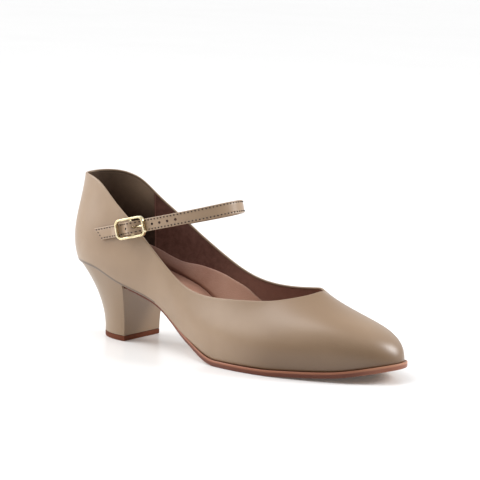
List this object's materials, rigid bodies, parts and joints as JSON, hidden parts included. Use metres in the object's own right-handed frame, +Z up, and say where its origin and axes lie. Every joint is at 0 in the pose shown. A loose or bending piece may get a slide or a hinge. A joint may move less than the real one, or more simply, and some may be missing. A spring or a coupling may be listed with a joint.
{
  "type": "character shoe",
  "caption": "Closed-toe stage pump with a low covered heel, an open collar, and a slim buckled strap over the instep.",
  "frame": {"origin": "centre of the heel's tread on the floor", "axes": "+X to the toe, +Y to the inner side of the foot, +Z up"},
  "size_m": [0.2485, 0.0795, 0.1048],
  "materials": {
    "tan_leather": "smooth satin",
    "footbed_leather": "soft matt lining leather",
    "sole_leather": "stained and waxed edge",
    "pale_brass": "polished pale gold plate"
  },
  "bodies": {
    "root": {"upper": "tan_leather", "outsole": "sole_leather", "insole": "footbed_leather", "heel": "tan_leather", "top_lift": "sole_leather", "strap": "tan_leather", "buckle_frame": "pale_brass", "buckle_prong": "pale_brass", "buckle_loop": "tan_leather"}
  },
  "joints": []
}
